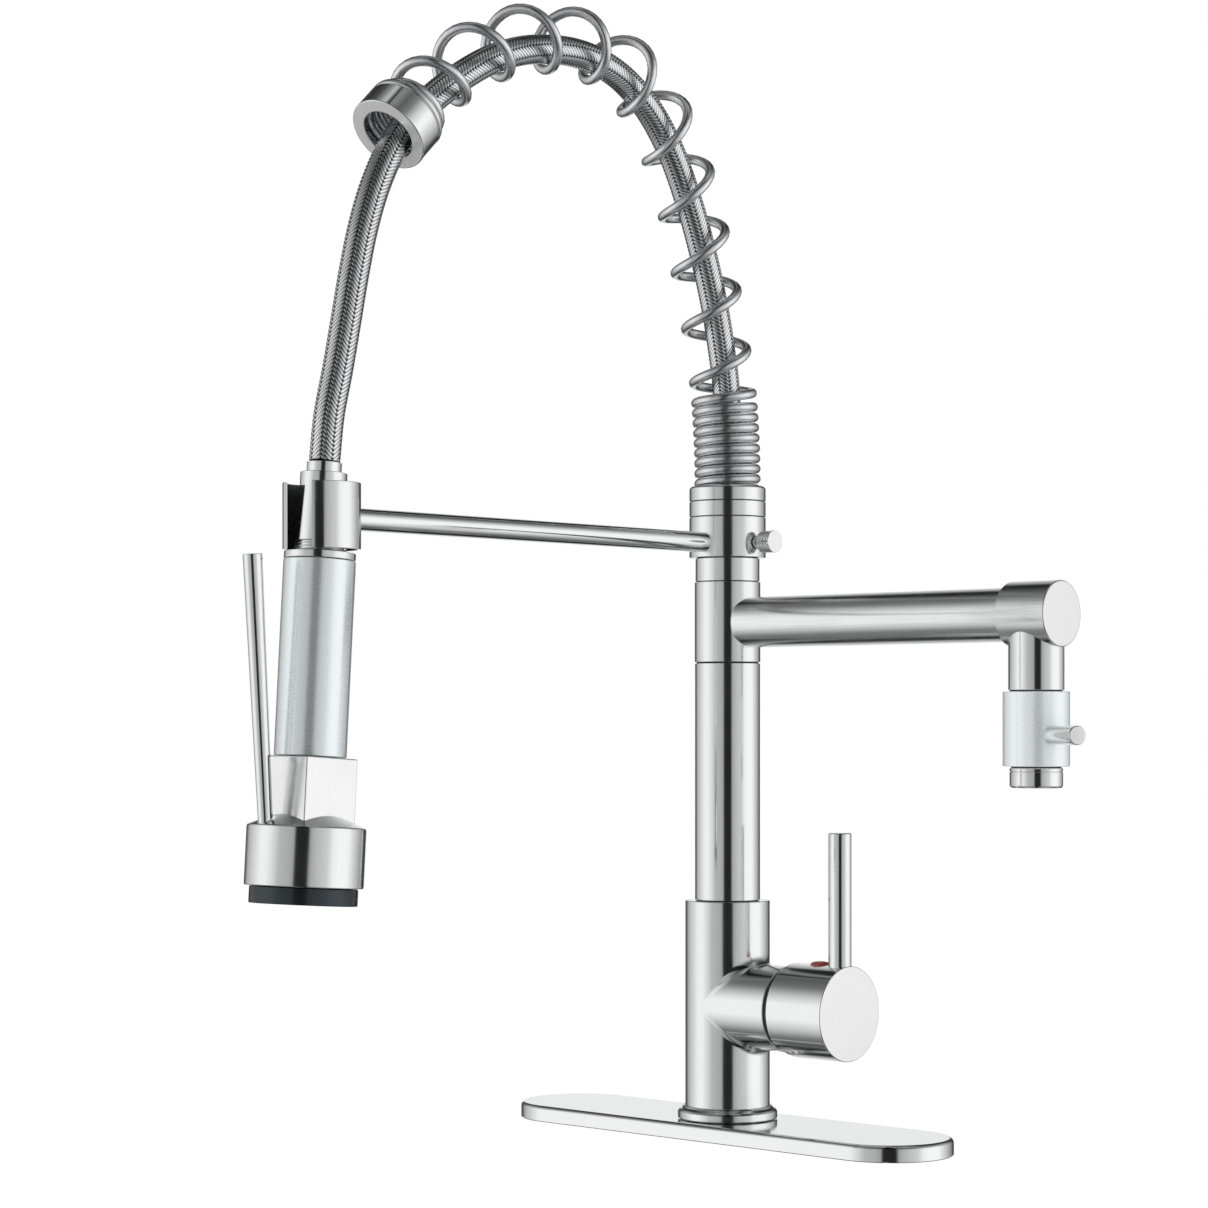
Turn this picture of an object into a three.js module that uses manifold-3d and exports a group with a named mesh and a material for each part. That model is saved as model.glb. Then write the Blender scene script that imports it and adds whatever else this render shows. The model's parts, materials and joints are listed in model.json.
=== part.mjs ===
// A single-lever kitchen faucet with a sprung pull-down spray arch and a second, swivelling spout.
// Millimetres, +Z up. The origin is the centre of the deck hole, on the surface of the deck.
// +X points along the deck plate, towards the handle and the spout; -Y points to the spray head.
import * as THREE from 'three';
import { mergeVertices } from 'three/addons/utils/BufferGeometryUtils.js';
import Module from 'manifold-3d';

const GAP = 0.3; // between two pieces that touch
const SIDES = 28; // round the large pieces
const SMALL_SIDES = 20; // round the bores and the small pieces

// Deck plate and what is under it
const PLATE = { length: 260, width: 62, height: 8, wall: 1.2 };
const DECK_HOLE_RADIUS = 17.5;
const DECK_THICKNESS = 30;
const SHANK = { radius: 16, bore: 13.5, low: -62, high: 28.2 };
const INLET = { x: -1, y: 7, radius: 4.75, bore: 3, low: -68, high: 43.7 };

// Column, from the deck plate up
const BODY = { radius: 20.8, low: 8.3, high: 115.2 };
const FLANGE_RADIUS = 24.5;
const COLUMN = { radius: 16, bore: 14.2, high: 231.6 };
const TEE = { radius: 16.15, low: 231.9, high: 271.5, bore: 12.6 };
const SPACER = { radius: 15.75, low: 271.8, high: 283.1 };
const COLLAR = { radius: 18.8, low: 283.4, high: 303.2, bore: 13.6 };
const BAND = { low: 303.5, high: 310.9 };
const CUP = { low: 311.2, high: 318.6 };

// Mixer, on an axis along +X
const MIXER_HEIGHT = 64;
const SLEEVE_END = 41;
const CARTRIDGE_BORE = 17.8;
const KNOB = { radius: 22.75, start: 42.5, end: 76.5, inside: 21.45, floor: 53.5 };
const LEVER = { radius: 5.5, x: 70.5, top: 150 };

// Spout, on an axis along +X
const SPOUT = { height: 251.5, radius: 12.25, bore: 10.25 };
const END_BLOCK = { radius: 15, start: 170.6, end: 197.2 };
const OUTLET_X = 183.2;
const DOWN_PIPE = { radius: 12.6, bore: 10.6, low: 217.2 };
const SLEEVE = { radius: 15.1, bore: 9.4, low: 182.9, high: 216.6 };
const VALVE_PIN = { radius: 4.3, height: 197, reach: 37, angle: -26 };
const AERATOR = { radius: 12, low: 173.2, high: 182.3 };

// Spray arm and head. The dock is where the head's axis crosses the holder rod's level.
const ROD = { radius: 5, height: 290.5 };
const DOCK_REACH = 266;
const RING = { outside: 16.8, inside: 15.2, low: 276.6, high: 305.1, halfOpening: 30, turn: 4 };
const HEAD_LEAN = 3.7; // degrees, the lower end outwards
const HEAD_TURN = -6; // degrees, about the head's own axis
const HEAD_LEVER = { out: 21, low: -133.8, topOut: 34.6, top: -19.2, foot: 3.15, head: 4.15 };

// Arch: the hose's route as [reach from the column, height], and the spring round it
const HOSE_RADIUS = 6.75;
const HOSE_ROUTE = [
  [0, 322], [0, 344], [0.9, 366], [4.6, 386], [10.2, 408], [18.2, 431], [28.2, 454], [41.2, 477],
  [56.4, 494.5], [72.8, 505.8], [89.5, 512], [106.3, 514.4], [124, 513.6], [143.4, 510],
  [163, 503], [181, 493.2], [198.5, 481.2], [214.2, 468], [226, 453], [235.2, 436.2],
  [242.2, 417.5], [247.6, 397], [252.2, 376], [257, 354.5], [261.9, 334.5], [264.5, 314.4],
];
const SPRING = {
  wire: 2.37, radius: 14.1, endRadius: 13.9, sag: 2.8, lift: 4.1, endLift: 3.2, startAngle: -2.32,
  closedPitch: 4.99, lowPitch: 28.9, archPitch: 33.2, closedTop: 357, opening: 23,
};
const SPRING_FOOT = 321.3;
const END_NUT = {
  reach: 227.6, height: 459.4, slope: -44.4,
  radius: 18.2, flange: 18.9, inside: 16.7, bore: 12.2, length: 17.5,
};

const STEEL = { color: 0xb9bbbc, roughness: 0.25, metalness: 1 };
const BRASS = { color: 0xb08d4f, roughness: 0.4, metalness: 1 };
const RUBBER = { color: 0x1d1e1f, roughness: 0.8, metalness: 0 };
const PALE = { color: 0xc9d3da, roughness: 0.45, metalness: 0.3 };
const BLACK = { color: 0x2b3036, roughness: 0.5, metalness: 0 };
const NYLON = { color: 0xe6e4dc, roughness: 0.55, metalness: 0 };
const CERAMIC = { color: 0xf0efe9, roughness: 0.2, metalness: 0 };
const RED = { color: 0x8e1f1a, roughness: 0.25, metalness: 0 };

const wasm = await Module();
wasm.setup();

// ---- solids ----

function signedVolume(position, index) {
  const [a, b, c] = [new THREE.Vector3(), new THREE.Vector3(), new THREE.Vector3()];
  let volume = 0;
  for (let i = 0; i < index.length; i += 3) {
    a.fromBufferAttribute(position, index[i]);
    b.fromBufferAttribute(position, index[i + 1]);
    c.fromBufferAttribute(position, index[i + 2]);
    volume += a.dot(b.cross(c)) / 6;
  }
  return volume;
}

// Merges shared vertices, drops triangles without area and turns the faces outwards.
function closed(geometry) {
  geometry.deleteAttribute('normal');
  geometry.deleteAttribute('uv');
  const merged = mergeVertices(geometry, 1e-4);
  const index = [];
  for (let i = 0; i < merged.index.count; i += 3) {
    const [a, b, c] = [0, 1, 2].map((k) => merged.index.getX(i + k));
    if (a !== b && b !== c && c !== a) index.push(a, b, c);
  }
  if (signedVolume(merged.attributes.position, index) < 0) index.reverse();
  merged.setIndex(index);
  merged.computeVertexNormals();
  return merged;
}

function toManifold(geometry) {
  return new wasm.Manifold(new wasm.Mesh({
    numProp: 3,
    vertProperties: new Float32Array(geometry.attributes.position.array),
    triVerts: new Uint32Array(geometry.index.array),
  }));
}

function fromManifold(manifold) {
  const mesh = manifold.getMesh();
  const geometry = new THREE.BufferGeometry();
  geometry.setAttribute('position', new THREE.BufferAttribute(mesh.vertProperties, 3));
  geometry.setIndex(new THREE.BufferAttribute(mesh.triVerts, 1));
  return closed(geometry);
}

function cut(solid, ...tools) {
  return fromManifold(tools.reduce((left, tool) => left.subtract(toManifold(tool)), toManifold(solid)));
}

function joined(...solids) {
  return fromManifold(solids.map(toManifold).reduce((all, next) => all.add(next)));
}

// A body of revolution about Z. The outline is [radius, height] points, and closes on itself or on the axis.
function turned(outline, sides = SIDES) {
  const points = outline.map(([radius, height]) => new THREE.Vector2(radius, height));
  if (outline[0][0] > 0) points.push(points[0].clone());
  return closed(new THREE.LatheGeometry(points, sides).rotateX(Math.PI / 2));
}

function pipe(radius, bore, low, high, sides = SIDES) {
  return turned([[bore, low], [radius, low], [radius, high], [bore, high]], sides);
}

function bar(radius, low, high, sides = 16, chamfer = 0) {
  const outline = [[0, low], [radius, low], [radius, high - chamfer], [0, high]];
  if (chamfer > 0) outline.splice(3, 0, [radius - chamfer, high]);
  return turned(outline, sides);
}

function box(x, y, z, width, depth, height) {
  return closed(new THREE.BoxGeometry(width, depth, height).translate(x, y, z));
}

// Turns a solid made along +Z so that it points along +X or -Y.
const towardsX = (solid) => solid.rotateY(Math.PI / 2);
const towardsFront = (solid) => solid.rotateX(Math.PI / 2);

// A slab with round ends, through [inset, height] levels.
function roundEnded(levels, steps = 9) {
  const points = [];
  const index = [];
  const count = 2 * (steps + 1);
  const straight = (PLATE.length - PLATE.width) / 2;
  for (const [inset, height] of levels) {
    for (let i = 0; i < count; i += 1) {
      const side = i <= steps ? 1 : -1;
      const angle = Math.PI * ((i % (steps + 1)) / steps - 0.5) + (side < 0 ? Math.PI : 0);
      const radius = PLATE.width / 2 - inset;
      points.push(side * straight + radius * Math.cos(angle), radius * Math.sin(angle), height);
    }
  }
  for (let level = 0; level + 1 < levels.length; level += 1) {
    for (let i = 0; i < count; i += 1) {
      const [a, b] = [level * count + i, level * count + ((i + 1) % count)];
      index.push(a, b, b + count, a, b + count, a + count);
    }
  }
  const top = (levels.length - 1) * count;
  for (let i = 1; i + 1 < count; i += 1) {
    index.push(0, i + 1, i, top, top + i, top + i + 1);
  }
  const geometry = new THREE.BufferGeometry();
  geometry.setAttribute('position', new THREE.Float32BufferAttribute(points, 3));
  geometry.setIndex(index);
  return closed(geometry);
}

function circleShape(radius, sides) {
  const corners = [];
  for (let i = 0; i < sides; i += 1) {
    const angle = (2 * Math.PI * i) / sides;
    corners.push(new THREE.Vector2(radius * Math.cos(angle), radius * Math.sin(angle)));
  }
  return new THREE.Shape(corners);
}

function swept(points, radius, sides, steps) {
  const path = new THREE.CatmullRomCurve3(points, false, 'catmullrom', 0.5);
  const options = { steps, extrudePath: path, bevelEnabled: false };
  return closed(new THREE.ExtrudeGeometry(circleShape(radius, sides), options));
}

function piece(name, geometry, look) {
  const mesh = new THREE.Mesh(geometry, new THREE.MeshStandardMaterial(look));
  mesh.name = name;
  return mesh;
}

// ---- deck ----

function deckPieces() {
  const hole = (low, high) => bar(DECK_HOLE_RADIUS, low, high, SMALL_SIDES);
  const cover = roundEnded([[0, 0], [0, 5.6], [0.8, 7.3], [2.6, PLATE.height]]);
  const hollow = roundEnded([[PLATE.wall, -1], [PLATE.wall, 6.7]]);
  const insert = roundEnded([[1.6, 1.8], [1.6, 6.4]]);
  const gasket = roundEnded([[3, 0], [3, 1.5]]);
  const flange = [
    [21.1, 8.3], [24.1, 8.3], [FLANGE_RADIUS, 8.9], [FLANGE_RADIUS, 11.8], [23.7, 12.9],
    [22.2, 13.6], [21.5, 14.6], [21.1, 14.6],
  ];
  return [
    piece('deck_gasket', cut(gasket, hole(-1, 3)), RUBBER),
    piece('plate_insert', cut(insert, hole(1, 8)), NYLON),
    piece('deck_plate', cut(cover, hollow, hole(5, 9)), STEEL),
    piece('base_flange', turned(flange), STEEL),
  ];
}

function clampPieces() {
  const bore = SHANK.radius + 0.5;
  const below = -DECK_THICKNESS;
  const nut = cut(bar(25, below - 16, below - 5.1, 6), bar(bore, below - 17, below - 4, SMALL_SIDES));
  return [
    piece('threaded_shank', pipe(SHANK.radius, SHANK.bore, SHANK.low, SHANK.high, SMALL_SIDES), BRASS),
    piece('rubber_washer', pipe(27, bore, below - 3, below, SMALL_SIDES), RUBBER),
    piece('steel_washer', pipe(27, bore, below - 4.8, below - 3.3, SMALL_SIDES), STEEL),
    piece('mounting_nut', nut, BRASS),
  ];
}

function inletPiece(name, side) {
  const tail = pipe(INLET.radius, INLET.bore, INLET.low, INLET.high, 12);
  return piece(name, tail.translate(INLET.x, side * INLET.y, 0), BRASS);
}

// ---- mixer ----

// The two inlet ways and the mixed-water way between the cartridge, the inlets and the column.
function waterWays() {
  const ways = [];
  for (const side of [-1, 1]) {
    const y = side * INLET.y;
    ways.push(bar(INLET.radius + GAP, 36, 44, 12).translate(INLET.x, y, 0));
    ways.push(bar(2.6, 43, 58, 8).translate(INLET.x, y, 0));
    ways.push(towardsX(bar(2.6, INLET.x - 2, 5, 8)).translate(0, y, 56));
  }
  ways.push(bar(4, 70, 93, 10).translate(-6, 0, 0));
  ways.push(towardsX(bar(4, -8, 5, 10)).translate(0, 0, 73));
  return ways;
}

function mixerBody() {
  const column = turned([
    [0, BODY.low], [BODY.radius, BODY.low], [BODY.radius, BODY.high - 0.6],
    [BODY.radius - 0.6, BODY.high], [0, BODY.high],
  ]);
  const sleeve = towardsX(bar(BODY.radius, 0, SLEEVE_END, SIDES, 0.5)).translate(0, 0, MIXER_HEIGHT);
  const cavity = towardsX(bar(CARTRIDGE_BORE, 4.2, 45, SMALL_SIDES)).translate(0, 0, MIXER_HEIGHT);
  const shankBore = bar(SHANK.radius + GAP, 0, 28.5, SMALL_SIDES);
  const chamber = bar(SHANK.bore, 28, 37, SMALL_SIDES);
  const columnBore = bar(12.6, 92, 120, SMALL_SIDES);
  return cut(joined(column, sleeve), cavity, shankBore, chamber, columnBore, ...waterWays());
}

// Three ports through a disc on the mixer's axis: two inlets below, the mixed outlet above.
function discPorts(low, high) {
  const port = (radius, x, y) => bar(radius, low, high, 8).translate(x, y, 0);
  return [port(2.4, 5.5, -6), port(2.4, 5.5, 6), port(3, -7.5, 0)];
}

// Everything in this group is on the mixer's axis: local Z is +X, and local -X is up.
function fixedCartridge() {
  const housing = turned([
    [0, 6.3], [17.4, 6.3], [17.4, 34], [14.3, 34], [14.3, 9.3], [0, 9.3],
  ], SMALL_SIDES);
  const dome = [
    [17.4, 40.8], [17.4, 41.3], [19.4, 41.3], [19.4, 41.8], [16.2, 45.9], [12, 49.3],
    [11.2, 48.2], [15, 45.2], [16.4, 40.8],
  ];
  return [
    piece('cartridge_seal', cut(bar(12, 4.5, 6, 16), ...discPorts(4, 7)), RUBBER),
    piece('cartridge_housing', cut(housing, ...discPorts(6, 10)), NYLON),
    piece('fixed_disc', cut(bar(12.5, 9.6, 13, 16), ...discPorts(9, 14)), CERAMIC),
    piece('cartridge_nut', pipe(17.5, 11.5, 34.3, 40.5, SMALL_SIDES), BRASS),
    piece('bonnet', turned(dome, 24), STEEL),
  ];
}

function movingCartridge() {
  const disc = turned([
    [0, 13.3], [10, 13.3], [10, 17], [6.5, 17], [6.5, 22.5], [3.8, 22.5], [3.8, 18.2], [0, 18.2],
  ], 16);
  const guideOutline = [[0, 23.3], [13.9, 23.3], [13.9, 33.7], [10, 33.7], [10, 36.5], [0, 36.5]];
  const guide = turned(guideOutline, SMALL_SIDES);
  const stem = joined(
    box(0, 0, 46, 7, 7, 40),
    turned([[0, 19], [2.1, 19.6], [3, 22], [2.6, 24], [2.6, 27], [0, 27]], 12),
  );
  return [
    piece('stem_guide', cut(guide, box(0, 0, 30, 13, 8.4, 20)), NYLON),
    piece('moving_disc', disc, CERAMIC),
    piece('valve_stem', stem, BRASS),
  ];
}

// The underside of the knob's rim is cut back so that the knob can tilt.
function rimRelief() {
  const [deep, shallow] = [KNOB.radius + 2, 14];
  const corners = [
    [shallow, KNOB.start], [deep, KNOB.start + 6], [deep, KNOB.start - 5], [shallow, KNOB.start - 5],
  ];
  const shape = new THREE.Shape(corners.map(([down, along]) => new THREE.Vector2(down, along)));
  const wedge = new THREE.ExtrudeGeometry(shape, { depth: 60, bevelEnabled: false });
  return closed(wedge.translate(0, 0, -30).rotateX(Math.PI / 2));
}

function handlePieces() {
  const up = -Math.PI / 2;
  const knob = turned([
    [0, KNOB.end], [KNOB.radius - 0.5, KNOB.end], [KNOB.radius, KNOB.end - 0.5],
    [KNOB.radius, KNOB.start], [KNOB.inside, KNOB.start], [KNOB.inside, KNOB.floor], [0, KNOB.floor],
  ], 32);
  const stemHole = box(0, 0, 60, 7.6, 7.6, 13.4);
  const studHole = bar(3.3, 12, 30, 12).rotateY(up).translate(0, 0, LEVER.x);
  const dotSeat = bar(4.5, 21.7, 30, 16).rotateY(up).translate(0, 0, 58.4);
  const screwHole = bar(2.2, 3, 30, 10).rotateY(Math.PI / 2).translate(0, 0, 60);
  const rod = bar(LEVER.radius, 19, LEVER.top - MIXER_HEIGHT, 18, 0.8).rotateY(up).translate(0, 0, LEVER.x);
  const stud = bar(3, 12.5, 24, 12).rotateY(up).translate(0, 0, LEVER.x);
  const seat = bar(KNOB.radius + GAP, 50, 90, 32);
  const lens = turned([[0, 22], [4.2, 22], [4.2, 22.6], [2.6, 23.3], [0, 23.7]], 16);
  return [
    piece('handle_knob', cut(knob, rimRelief(), stemHole, studHole, dotSeat, screwHole), STEEL),
    piece('handle_lever', joined(cut(rod, seat), stud), STEEL),
    piece('index_dot', lens.rotateY(up).translate(0, 0, 58.4), RED),
    piece('knob_set_screw', bar(1.9, 4.2, 20.5, 8).rotateY(Math.PI / 2).translate(0, 0, 60), STEEL),
  ];
}

// ---- column ----

function columnPieces() {
  const tube = [
    [9, 93], [12.3, 93], [12.3, 115.5], [COLUMN.radius, 115.5], [COLUMN.radius, COLUMN.high],
    [11.3, COLUMN.high], [11.3, 219], [COLUMN.bore, 215], [COLUMN.bore, 124], [9, 118],
  ];
  const post = [
    [8, 220], [11, 220], [11, 232.2], [12.2, 232.2], [12.2, 238], [10.9, 238], [10.9, 240.8],
    [12.2, 240.8], [12.2, 262.8], [10.9, 262.8], [10.9, 265.6], [12.2, 265.6], [12.2, 271.5],
    [11, 271.5], [11, 305.5], [8, 305.5],
  ];
  const connector = [
    [4, 296], [7.6, 296], [7.6, 305.8], [13, 305.8], [13, 308.8], [7, 308.8], [7, 321.7], [4, 321.7],
  ];
  const ports = [0, 90].map((turn) => towardsX(bar(4, -15, 15, 8)).rotateZ((turn * Math.PI) / 180)
    .translate(0, 0, SPOUT.height));
  const oring = (low) => {
    const section = [[11.2, 0], [12.1, 0], [12.4, 1.1], [12.1, 2.2], [11.2, 2.2]];
    return turned(section, 16).translate(0, 0, low);
  };
  return [
    piece('column_tube', turned(tube), STEEL),
    piece('swivel_post', cut(turned(post, SMALL_SIDES), ...ports), BRASS),
    piece('spout_seal_lower', oring(238.3), RUBBER),
    piece('spout_seal_upper', oring(263.1), RUBBER),
    piece('column_spacer', pipe(SPACER.radius, 11.3, SPACER.low, SPACER.high), STEEL),
    piece('hose_connector', turned(connector, 16), BRASS),
  ];
}

// ---- spout ----

function spoutPieces() {
  const bore = towardsX(bar(SPOUT.bore, 0, 30, SMALL_SIDES)).translate(0, 0, SPOUT.height);
  const tee = cut(pipe(TEE.radius, TEE.bore, TEE.low + GAP, TEE.high), bore);
  const tube = pipe(SPOUT.radius, SPOUT.bore, 8, END_BLOCK.start - GAP, 24);
  const arm = towardsX(tube).translate(0, 0, SPOUT.height);
  const block = towardsX(turned([
    [0, END_BLOCK.end], [14.4, END_BLOCK.end], [END_BLOCK.radius, END_BLOCK.end - 0.6],
    [END_BLOCK.radius, END_BLOCK.start + 0.6], [14.4, END_BLOCK.start], [SPOUT.bore, END_BLOCK.start],
    [SPOUT.bore, 190], [0, 190],
  ])).translate(0, 0, SPOUT.height);
  const drop = bar(9.5, 230, SPOUT.height, 16).translate(OUTLET_X, 0, 0);
  const down = pipe(DOWN_PIPE.radius, DOWN_PIPE.bore, DOWN_PIPE.low, SPOUT.height, 24)
    .translate(OUTLET_X, 0, 0);
  const blockSkin = towardsX(bar(END_BLOCK.radius + GAP, 160, 210, SIDES)).translate(0, 0, SPOUT.height);
  return [
    piece('spout_tee', tee, STEEL),
    piece('spout_arm', cut(arm, bar(TEE.radius + GAP, 230, 275, SIDES)), STEEL),
    piece('spout_end_block', cut(block, drop), STEEL),
    piece('spout_down_pipe', cut(down, blockSkin), STEEL),
  ];
}

function outletPieces() {
  const core = [[6, 176], [9, 176], [9, 218.2], [10.3, 218.2], [10.3, 230], [6, 230]];
  const housing = [
    [8.6, AERATOR.low], [11.6, AERATOR.low],
    [AERATOR.radius, AERATOR.low + 0.5], [AERATOR.radius, AERATOR.high],
    [9.3, AERATOR.high], [9.3, 175.7], [8.6, 175.7],
  ];
  const holes = [bar(1.4, 173, 176, 6)];
  for (let i = 0; i < 6; i += 1) {
    holes.push(bar(1.4, 173, 176, 6).translate(4.8, 0, 0).rotateZ((i * Math.PI) / 3));
  }
  return [
    piece('valve_core', turned(core, SMALL_SIDES), BRASS),
    piece('aerator_housing', turned(housing, 24), STEEL),
    piece('aerator_insert', cut(bar(8.3, 173.7, 175.4, 16), ...holes), NYLON),
  ];
}

function outletValvePieces() {
  const turn = (VALVE_PIN.angle * Math.PI) / 180;
  const across = (radius, from, to, chamfer) => towardsX(bar(radius, from, to, 14, chamfer))
    .rotateZ(turn).translate(0, 0, VALVE_PIN.height);
  const sleeve = pipe(SLEEVE.radius, SLEEVE.bore, SLEEVE.low, SLEEVE.high);
  return [
    piece('valve_sleeve', cut(sleeve, across(VALVE_PIN.radius + GAP, 10.5, 20, 0)), PALE),
    piece('valve_pin', across(VALVE_PIN.radius, 11, VALVE_PIN.reach, 0.7), STEEL),
  ];
}

// ---- spray arm ----

function collarPieces() {
  const rodHole = towardsFront(bar(3.3, 12, 22, 12)).translate(0, 0, ROD.height);
  const screwHole = towardsX(bar(2.8, 12, 22, 12)).translate(0, 0, ROD.height);
  const collar = pipe(COLLAR.radius, COLLAR.bore, COLLAR.low, COLLAR.high);
  const cup = [
    [8, CUP.low], [COLLAR.radius, CUP.low],
    [COLLAR.radius, CUP.high - 0.5], [COLLAR.radius - 0.5, CUP.high],
    [8, CUP.high],
  ];
  return [
    piece('arm_collar', cut(collar, rodHole, screwHole), STEEL),
    piece('arm_bush', pipe(13.3, 11.4, 283.7, 303, SMALL_SIDES), NYLON),
    piece('arm_band', pipe(COLLAR.radius, 14, BAND.low, BAND.high), STEEL),
    piece('spring_cup', turned(cup), STEEL),
  ];
}

function holderPieces() {
  const rod = towardsFront(bar(ROD.radius, 15, DOCK_REACH, 16)).translate(0, 0, ROD.height);
  const stud = towardsFront(bar(3, 14.5, 24, 12)).translate(0, 0, ROD.height);
  const collarSkin = bar(COLLAR.radius + GAP, 280, 305, SIDES);
  const ringSkin = bar(RING.outside + GAP, 280, 305, SIDES).translate(0, -DOCK_REACH, 0);
  const [from, to] = [RING.turn + RING.halfOpening - 90, RING.turn - RING.halfOpening + 270]
    .map(THREE.MathUtils.degToRad);
  const section = new THREE.Shape();
  section.absarc(0, 0, RING.outside, from, to, false);
  section.absarc(0, 0, RING.inside, to, from, true);
  section.closePath();
  const options = { depth: RING.high - RING.low, bevelEnabled: false, curveSegments: 22 };
  const ring = new THREE.ExtrudeGeometry(section, options).translate(0, -DOCK_REACH, RING.low);
  return [
    piece('holder_rod', joined(cut(rod, collarSkin, ringSkin), stud), STEEL),
    piece('holder_ring', closed(ring), STEEL),
  ];
}

function thumbScrew() {
  const outline = [[0, 14.6], [2.5, 14.6], [2.5, 22], [5.25, 22.6], [5.25, 30], [4.7, 30.5], [0, 30.5]];
  return piece('thumb_screw', towardsX(turned(outline, 16)).translate(0, 0, ROD.height), STEEL);
}

// ---- arch ----

const onRoute = ([reach, height]) => new THREE.Vector3(0, -reach, height);

// The spring's centre line: it sags to the inside of the arch low down and stands off the hose at the top.
function springCentre(path, distance, closing) {
  const share = THREE.MathUtils.clamp(distance / path.getLength(), 0, 1);
  const tangent = path.getTangentAt(share);
  const outward = new THREE.Vector3(0, tangent.z, -tangent.y);
  const { smoothstep, lerp } = THREE.MathUtils;
  const sag = lerp(0, -SPRING.sag, smoothstep(distance, 0, 60));
  const lift = lerp(lerp(sag, SPRING.lift, smoothstep(distance, 80, 230)), SPRING.endLift, closing);
  return { point: path.getPointAt(share).addScaledVector(outward, lift), outward };
}

// A right-handed wire: coils touch up to the closed top, then open, and meet the nut at the far end.
function springWire() {
  const { smoothstep, lerp } = THREE.MathUtils;
  const path = new THREE.CatmullRomCurve3(HOSE_ROUTE.map(onRoute), false, 'catmullrom', 0.5);
  path.arcLengthDivisions = 800;
  const stepsPerTurn = 10;
  const closedEnd = SPRING.closedTop - HOSE_ROUTE[0][1];
  const end = nutDistance(path) + 6;
  const side = new THREE.Vector3(-1, 0, 0);
  const points = [];
  let distance = SPRING_FOOT - HOSE_ROUTE[0][1];
  for (let turn = 0; distance < end; turn += 1) {
    const opening = smoothstep(distance, closedEnd, closedEnd + SPRING.opening);
    const closing = smoothstep(distance, end - 26, end - 8);
    const { point, outward } = springCentre(path, distance, closing);
    point.z += Math.min(distance, 0);
    const radius = lerp(SPRING.radius, SPRING.endRadius, closing);
    const angle = (2 * Math.PI * turn) / stepsPerTurn + SPRING.startAngle;
    point.addScaledVector(outward, radius * Math.cos(angle));
    point.addScaledVector(side, radius * Math.sin(angle));
    points.push(point);
    const openPitch = lerp(SPRING.lowPitch, SPRING.archPitch, smoothstep(distance, 122, 275));
    distance += lerp(SPRING.closedPitch, openPitch, opening * (1 - closing)) / stepsPerTurn;
  }
  return points;
}

// How far along the hose the back of the end nut lies.
function nutDistance(path) {
  const back = new THREE.Vector3(0, -END_NUT.reach, END_NUT.height);
  const slope = THREE.MathUtils.degToRad(END_NUT.slope);
  back.addScaledVector(new THREE.Vector3(0, -Math.cos(slope), Math.sin(slope)), -END_NUT.length);
  let [nearest, best] = [0, Infinity];
  for (let i = 0; i <= 400; i += 1) {
    const gap = path.getPointAt(i / 400).distanceTo(back);
    if (gap < best) [nearest, best] = [(i / 400) * path.getLength(), gap];
  }
  return nearest;
}

function endNut() {
  const { radius, flange, inside, bore, length } = END_NUT;
  const outline = [
    [bore, 0], [radius - 0.5, 0], [radius, -0.5], [radius, -12], [radius - 0.7, -12], [radius - 0.7, -13.2],
    [flange, -13.2], [flange, 0.5 - length], [flange - 0.5, -length],
    [inside, -length], [inside, -4], [bore, -4],
  ];
  const slope = THREE.MathUtils.degToRad(90 - END_NUT.slope);
  return turned(outline, 24).rotateX(slope).translate(0, -END_NUT.reach, END_NUT.height);
}

function archPieces() {
  const wire = springWire();
  return [
    piece('arch_spring', swept(wire, SPRING.wire, 5, wire.length - 1), STEEL),
    piece('spring_end_nut', endNut(), STEEL),
    piece('spray_hose', swept(HOSE_ROUTE.map(onRoute), HOSE_RADIUS, 10, 32), STEEL),
  ];
}

// ---- spray head: heights are along the head's own axis, from the dock ----

const SHOULDER = { foot: -132.4, top: -126.75, width: 12.8 };
const BLOCK = { width: 29, turn: 6 };

function gripPieces() {
  const ferrule = [[4, 12], [6, 12], [6, 19.2], [7.5, 19.2], [7.5, 23.3], [4, 23.3]];
  const neck = [
    [5, -101], [7, -101], [7, -30], [9, -30], [9, -15], [10.95, -15], [10.95, -12], [10.1, 12],
    [10.1, 18.9], [6.4, 18.9], [6.4, 11.5], [5, 11.5],
  ];
  const grip = [[9.3, -18.7], [15.5, -18.7], [15.5, -102.5], [12, -102.5], [12, -32], [9.3, -32]];
  return [
    piece('hose_ferrule', turned(ferrule, 16), STEEL),
    piece('dock_neck', turned(neck, SMALL_SIDES), STEEL),
    piece('grip_collar', pipe(15.4, 9.3, -18.4, -15.3), STEEL),
    piece('spray_grip', turned(grip), PALE),
  ];
}

function bellOutline(grow) {
  return [
    [0, -158], [24.9 + grow, -158], [25.5 + grow, -157.4], [25.5 + grow, SHOULDER.foot + grow],
    [SHOULDER.width, SHOULDER.top + grow], [0, SHOULDER.top + grow],
  ];
}

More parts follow.
